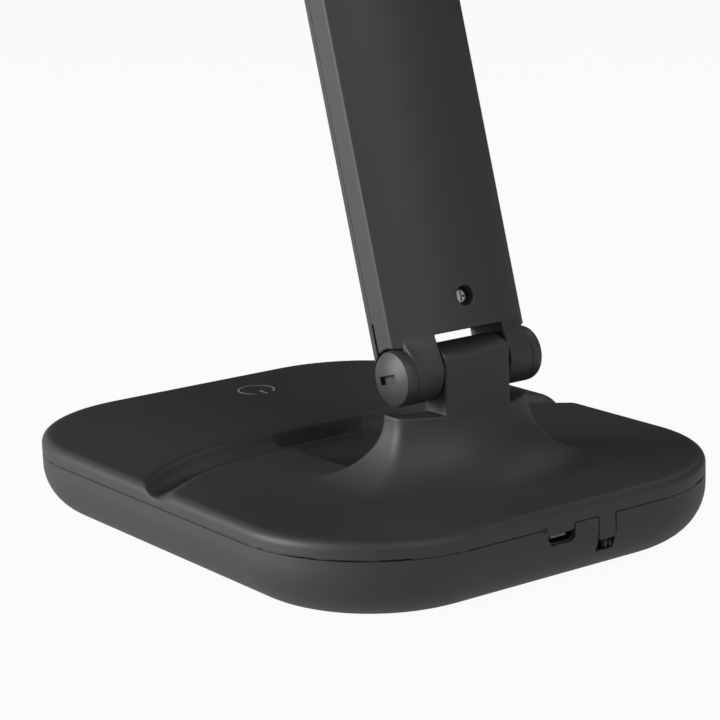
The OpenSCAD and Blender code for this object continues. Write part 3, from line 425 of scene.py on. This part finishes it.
# a term of 0 * u below only spreads a value over the whole grid
def grooveField(x, y, z):
    b = base
    rise = math.radians(b["grooveRise"])
    u = np.abs(x) - b["grooveHalf"]
    dy, dz = y - b["grooveY"], z - (b["height"] - b["grooveDepth"] + b["grooveRadius"])
    v = dy * math.cos(rise) + dz * math.sin(rise)
    w = dz * math.cos(rise) - dy * math.sin(rise)
    bend = np.hypot(u, v - b["grooveTurn"]) - b["grooveTurn"]
    # it narrows toward its ends, most on the front side
    bend = bend * (1 + np.where(bend > 0, b["narrowFront"], b["narrowRear"]) * np.maximum(u, 0))
    return np.where(u > 0, np.hypot(bend, w), np.hypot(dy, dz) + 0 * u) - b["grooveRadius"]


def groovePlan(x, y):
    b = base
    u = np.abs(x) - b["grooveHalf"]
    dy = y - b["grooveY"]
    bend = np.abs(np.hypot(u, dy - b["grooveTurn"]) - b["grooveTurn"])
    return np.where(u > 0, bend, np.abs(dy) + 0 * u) - b["grooveRadius"]


def neckAndTop(x, y, z, plan):
    b = base
    bow = np.hypot(x, y - b["bowY"]) - b["bowRadius"]
    neck = softMax(softMax(bow, np.abs(x) - b["neckHalf"], b["neckEdge"]),
                   b["neckFront"] - y, b["neckEdge"])
    # the top swells a little toward the neck
    swell = b["swell"] * np.clip(1 - np.maximum(neck, 0) / b["swellReach"], 0, 1) ** 2
    slab = roundCut(plan, z - b["height"] - swell, b["topRound"])
    neck = softMax(neck, z - b["shoulder"], b["shoulderEdge"])
    body = roundJoin(slab, neck, b["flare"])
    side = roundCut(bow, np.abs(x) - b["knuckleHalf"], b["knuckleEdge"])
    side = roundCut(side, b["neckFront"] - y, b["knuckleEdge"])
    crown = np.hypot(y - b["crownY"], z - b["crownZ"]) - b["crown"]
    knuckle = roundCut(side, crown, b["knuckleEdge"])
    return np.where(z > b["shoulder"] - b["knuckleRoot"], np.minimum(body, knuckle), body)


def cutSlot(body, x, y, z, floor):
    # steep front wall, floor, sweep up into the neck's face
    b = base
    sweepY, sweepZ = b["neckFront"] - b["sweep"], floor + b["sweep"]
    lean = math.atan2(b["slotFoot"] - b["slotFront"], b["grooveDepth"])
    front = (b["slotFoot"] - y) * math.cos(lean) - (z - floor) * math.sin(lean)
    sweep = np.where(y > sweepY, np.hypot(y - sweepY, z - sweepZ) - b["sweep"], floor - z + 0 * y)
    back = np.where(z < sweepZ, sweep, y - b["neckFront"] + 0 * z)
    side = np.abs(x) - b["slotHalf"]
    slot = roundCut(roundCut(back, side, b["slotSide"]), front, b["slotFootRound"])
    share = np.clip((y - b["rollFrom"]) / b["rollRun"], 0, 1)
    return roundCut(body, -slot, b["slotLip"] + (b["slotRoll"] - b["slotLip"]) * share)


def coverField(x, y, z):
    b = base
    plan = footprint(x, y)
    body = neckAndTop(x, y, z, plan)
    body = roundCut(body, -grooveField(x, y, z), b["grooveLip"])
    floor = b["height"] - b["grooveDepth"]
    body = cutSlot(body, x, y, z, floor)
    # hollow underneath, thicker below the groove and the slot
    under = floor - b["wall"]
    hollow = np.maximum(plan + b["wall"], z - (b["height"] - b["wall"]))
    keep = np.maximum(groovePlan(x, y), under - z)
    wide = np.maximum(np.abs(x) - b["neckHalf"] - b["wall"],
                      np.maximum(b["slotFront"] - y, y - b["neckFront"]))
    keep = np.minimum(keep, np.maximum(wide, under - z))
    hollow = np.maximum(hollow, -keep)
    body = np.maximum(body, -hollow)
    # nothing of the wall below the seam, except the tabs over the inlet and the switch
    below = np.maximum(z - b["seam"] - b["seamGap"], -b["wall"] - b["wallSlack"] - plan)
    for x0, x1, z0 in (b["usb"], b["switch"]):
        tab = np.maximum(np.maximum(x0 - x, x - x1), np.maximum(z0 - z, b["tabFrom"] - y))
        below = np.maximum(below, -tab)
    body = np.maximum(body, -below)
    lightX, lightR = b["light"]
    hole = np.maximum(np.hypot(x - lightX, z - b["seam"]) - lightR, b["lightFrom"] - y)
    return np.maximum(body, -hole)


def makeCover():
    b, g = base, coverGrid
    half, deep = b["width"] / 2, b["depth"] / 2
    fine = g["fine"]
    out, band, kx = g["margin"], g["band"], g["knuckleX"]
    (slot0, slot1), (knuckle0, knuckle1) = g["slotY"], g["knuckleY"]
    xs = steps((-half - out, -half + band, g["side"]), (-half + band, -kx, g["plain"]),
               (-kx, kx, fine),
               (kx, half - band, g["plain"]), (half - band, half + out, g["side"]))
    ys = steps((-deep - out, -deep + band, g["side"]), (-deep + band, slot0, g["long"]),
               (slot0, slot1, g["slot"]), (slot1, knuckle0, g["plain"]),
               (knuckle0, knuckle1, fine),
               (knuckle1, deep - band, g["long"]), (deep - band, deep + out, g["fine"]))
    seam = b["seam"] + b["seamGap"]
    tabLow, tabTop, tabStep = g["tabZ"]
    zs = steps((tabLow, tabTop, tabStep), (tabTop, seam - g["seamBand"], tabStep),
               (seam - g["seamBand"], seam + g["seamBand"], g["seamStep"]),
               (seam + g["seamBand"], g["topZ"], g["topStep"]),
               (g["topZ"], g["neckZ"], g["neckStep"]), (g["neckZ"], g["crownZ"], fine))
    points, faces = skin(coverField, xs, ys, zs)
    # a crisp lower edge all round
    plan = footprint(points[:, 0], points[:, 1])
    rim = (np.abs(points[:, 2] - seam) < g["seamNear"]) & (np.abs(plan) < g["wallNear"])
    points[rim, 2] = seam
    piece = meshPiece("baseCover", points, faces, baseAbs, "base")
    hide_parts("base_top_cover")
    print("base cover", len(faces))


makeCover()


# arm shell: along Z from the lower hinge axis, rear face toward +Y, both ends alike
arm = {"length": 250, "lean": 16, "axisY": 43.3, "axisZ": 50.2, "half": 21.8, "split": -4.58,
       "bowY": -33.8, "bowRadius": 42, "edge": 0.35, "wall": 1.8, "hollowFrom": 10.8,
       # barrels, and the rooms for the caps beside them
       "barrel": 7.35, "barrelIn": 10.9, "barrelOut": 19.1, "barrelEdge": 0.25, "blend": 4.0,
       "relief": 7.7, "reliefEdge": 0.2, "notch": 9, "notchEdge": 0.3,
       # slit by the cap: least x, least y, most y, top
       "slit": (20.6, -4.6, -4.0, 14.7),
       "screwZ": 17.5, "recess": 2.6, "recessEdge": 0.3, "seat": 4.6, "boss": 4.0,
       "creases": 35}

# its grid: fine at the hinges, coarse along the plain middle
armGrid = {"fine": 0.42, "quick": 0.8, "plain": 5, "halfX": 22.6, "rangeY": (-8.2, 9),
           "pastEnd": 8.2, "hingeZ": 24}


def armField(x, y, z):
    a = arm
    x = np.abs(x)
    z = np.minimum(z, a["length"] - z)
    bow = np.hypot(x, y - a["bowY"]) - a["bowRadius"]
    plate = roundCut(bow, x - a["half"], a["edge"])
    shell = np.maximum(plate, np.maximum(-z, a["split"] - y))
    cavity = np.maximum(np.maximum(bow + a["wall"], x - a["half"] + a["wall"]),
                        a["hollowFrom"] - z)
    recess = np.hypot(x, z - a["screwZ"])
    cavity = np.maximum(cavity, a["boss"] - recess)
    solid = np.maximum(shell, -cavity)
    # the barrels blend into the rear face, and meet the front one plainly
    turn = np.hypot(y, z)
    k = a["blend"]
    barrel = np.maximum(turn - a["barrel"], a["barrelIn"] - x)
    near = np.where(z < 0, np.hypot(np.maximum(plate, 0), z), solid)
    mix = np.maximum(k - np.abs(near - barrel), 0) / k
    joined = np.minimum(solid, barrel) - mix ** 2 * k / 4
    joined = np.where(y > 0, joined, np.minimum(solid, barrel))
    # the barrels and their sweep end at the caps
    solid = np.minimum(roundCut(joined, x - a["barrelOut"], a["barrelEdge"]), solid)
    solid = roundCut(solid, np.minimum(a["barrelIn"] - x, a["notch"] - z), a["notchEdge"])
    cap = np.maximum(turn - a["relief"], a["barrelOut"] - x)
    solid = roundCut(solid, -cap, a["reliefEdge"])
    slitX, y0, y1, top = a["slit"]
    slit = np.maximum(np.maximum(slitX - x, z - top), np.maximum(y0 - y, y - y1))
    solid = np.maximum(solid, -slit)
    hole = np.maximum(recess - a["recess"], a["seat"] - y)
    return roundCut(solid, -hole, a["recessEdge"])


def atHinge():
    a = arm
    return (Matrix.Translation(Vector((0, a["axisY"], a["axisZ"])) * mm)
            @ Matrix.Rotation(math.radians(a["lean"]), 4, "X"))


def makeArm():
    a, g = arm, armGrid
    fine = g["fine"]
    length, hinge, past = a["length"], g["hingeZ"], g["pastEnd"]
    xs = steps((-g["halfX"], g["halfX"], fine))
    ys = steps((*g["rangeY"], fine))
    zs = steps((-past, hinge, fine), (hinge, length - hinge, g["plain"]),
               (length - hinge, length + past, fine))
    points, faces = skin(armField, xs, ys, zs)
    place = atHinge()
    turn = np.array(place.to_3x3())
    points = points @ turn.T + np.array(place.translation) / mm
    piece = meshPiece("armShell", points, faces, armAbs, "arm", a["creases"])
    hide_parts("arm_rear_shell")
    print("arm shell", len(faces))


makeArm()


# touch mark: an open ring with a bar in its gap, which is gap degrees to each side
touchMark = {"x": -8.8, "y": -66, "outer": 5.7, "line": 0.62, "gap": 34, "ringSteps": 72,
             "bar": 4.6, "barRise": 0.6, "barSteps": 4, "lift": 0.03, "film": 0.03}


# Pad-printed grey ink: thin, matt, slightly broken at its edges.
def printedInk():
    return smallMoulding("padPrintedInk", "#77787a", "#8b8c8e", 0.5, 0.3, 1.5, 0.005)


def makeTouchMark():
    t = touchMark
    top = base["height"] + t["lift"]
    points, faces = [], []

    def strip(pairs):
        # a band of quads between pairs of points
        start = len(points)
        for pair in pairs:
            points.extend((px, py, top) for px, py in pair)
        for k in range(len(pairs) - 1):
            s = start + 2 * k
            faces.append((s, s + 1, s + 3, s + 2))

    ring = []
    inner = t["outer"] - t["line"]
    for k in range(t["ringSteps"] + 1):
        angle = math.radians(90 + t["gap"] + (360 - 2 * t["gap"]) * k / t["ringSteps"])
        c, s = math.cos(angle), math.sin(angle)
        ring.append(((t["x"] + t["outer"] * c, t["y"] + t["outer"] * s),
                     (t["x"] + inner * c, t["y"] + inner * s)))
    strip(ring[::-1])
    half = t["line"] / 2
    barTop = t["y"] + t["outer"] + t["barRise"]
    bar = []
    for k in range(t["barSteps"] + 1):
        y = barTop - t["bar"] * (1 - k / t["barSteps"])
        bar.append(((t["x"] - half, y), (t["x"] + half, y)))
    strip(bar[::-1])
    piece = meshPiece("touchMark", np.array(points), np.array(faces), printedInk(), "base")
    thick = piece.modifiers.new("film", "SOLIDIFY")
    thick.thickness = t["film"] * mm
    thick.offset = -1


makeTouchMark()
print("touch mark printed")


# floor, backdrop and light: whiteShare of the floor shows plain white and the rest lit paper,
# which keeps a trace of the shadow; reflections see it glossShare as white
stage = {"floorZ": -0.8, "floorSize": 6, "paper": "#c4c4c4", "whiteShare": 0.95,
         "glossShare": 0.5, "room": 0.02}


# Matt white card: even and pale, with no gloss.
def makeFloor():
    s = stage
    half = s["floorSize"] / 2
    mesh = bpy.data.meshes.new("floor")
    mesh.from_pydata([(-half, -half, 0), (half, -half, 0), (half, half, 0), (-half, half, 0)],
                     [], [(0, 1, 2, 3)])
    floor = bpy.data.objects.new("floor", mesh)
    floor.location.z = s["floorZ"] * mm
    bpy.context.scene.collection.objects.link(floor)
    material = bpy.data.materials.new("paperSweep")
    material.use_nodes = True
    tree = material.node_tree
    tree.nodes.clear()
    path = addNode(tree, "ShaderNodeLightPath")
    seen = addNode(tree, "ShaderNodeMath", {0: path.outputs["Is Camera Ray"],
                                            1: path.outputs["Is Transmission Ray"]},
                   operation="MAXIMUM")
    mirrored = addNode(tree, "ShaderNodeMath", {0: path.outputs["Is Glossy Ray"],
                                                1: s["glossShare"]}, operation="MULTIPLY")
    seen = addNode(tree, "ShaderNodeMath", {0: seen.outputs[0], 1: mirrored.outputs[0]},
                   operation="MAXIMUM")
    share = addNode(tree, "ShaderNodeMath", {0: seen.outputs[0], 1: s["whiteShare"]},
                    operation="MULTIPLY")
    paper = addNode(tree, "ShaderNodeBsdfDiffuse", {"Color": toLinear(s["paper"])})
    white = addNode(tree, "ShaderNodeEmission", {"Color": (1, 1, 1, 1), "Strength": 1.0})
    mix = addNode(tree, "ShaderNodeMixShader", {0: share.outputs[0], 1: paper.outputs[0],
                                                2: white.outputs[0]})
    addNode(tree, "ShaderNodeOutputMaterial", {"Surface": mix.outputs[0]})
    mesh.materials.append(material)


# the room is dark in reflections, or the matt black plastic would turn grey
def makeWorld():
    world = bpy.data.worlds.new("studio")
    bpy.context.scene.world = world
    world.use_nodes = True
    tree = world.node_tree
    tree.nodes.clear()
    path = addNode(tree, "ShaderNodeLightPath")
    seen = addNode(tree, "ShaderNodeMath", {0: path.outputs["Is Camera Ray"],
                                            1: path.outputs["Is Transmission Ray"]},
                   operation="MAXIMUM")
    room = addNode(tree, "ShaderNodeBackground", {"Color": (1, 1, 1, 1),
                                                  "Strength": stage["room"]})
    white = addNode(tree, "ShaderNodeBackground", {"Color": (1, 1, 1, 1), "Strength": 1.0})
    mix = addNode(tree, "ShaderNodeMixShader", {0: seen.outputs[0], 1: room.outputs[0],
                                                2: white.outputs[0]})
    addNode(tree, "ShaderNodeOutputWorld", {"Surface": mix.outputs[0]})


# soft boxes: azimuth from +Y toward +X, elevation, power in watts; the broad one on the left
# gives the pale sides, the rest only fill
lamps = {"leftBox": (110, 12, 17.8), "leftHigh": (90, 42, 2.4), "rearLow": (0, 12, 1.4),
         "rearHigh": (0, 42, 4.2), "rightRear": (315, 12, 0.6), "rightHigh": (265, 42, 1.4),
         "front": (180, 12, 1.0)}
# every box in metres: width, height, distance, and the height that it aims at
softBox = {"width": 0.6, "height": 0.45, "away": 1.2, "aimZ": 0.06}


def makeLamps():
    aim = Vector((0, 0, softBox["aimZ"]))
    for name, (azimuth, elevation, power) in lamps.items():
        data = bpy.data.lights.new(name, "AREA")
        data.shape = "RECTANGLE"
        data.size, data.size_y = softBox["width"], softBox["height"]
        data.energy = power
        item = bpy.data.objects.new(name, data)
        way = toward(azimuth, elevation)
        item.location = aim + way * softBox["away"]
        item.rotation_euler = (-way).to_track_quat("-Z", "Y").to_euler()
        bpy.context.scene.collection.objects.link(item)


makeFloor()
makeWorld()
makeLamps()
bpy.context.scene.view_settings.view_transform = "Standard"
print("stage and light set")
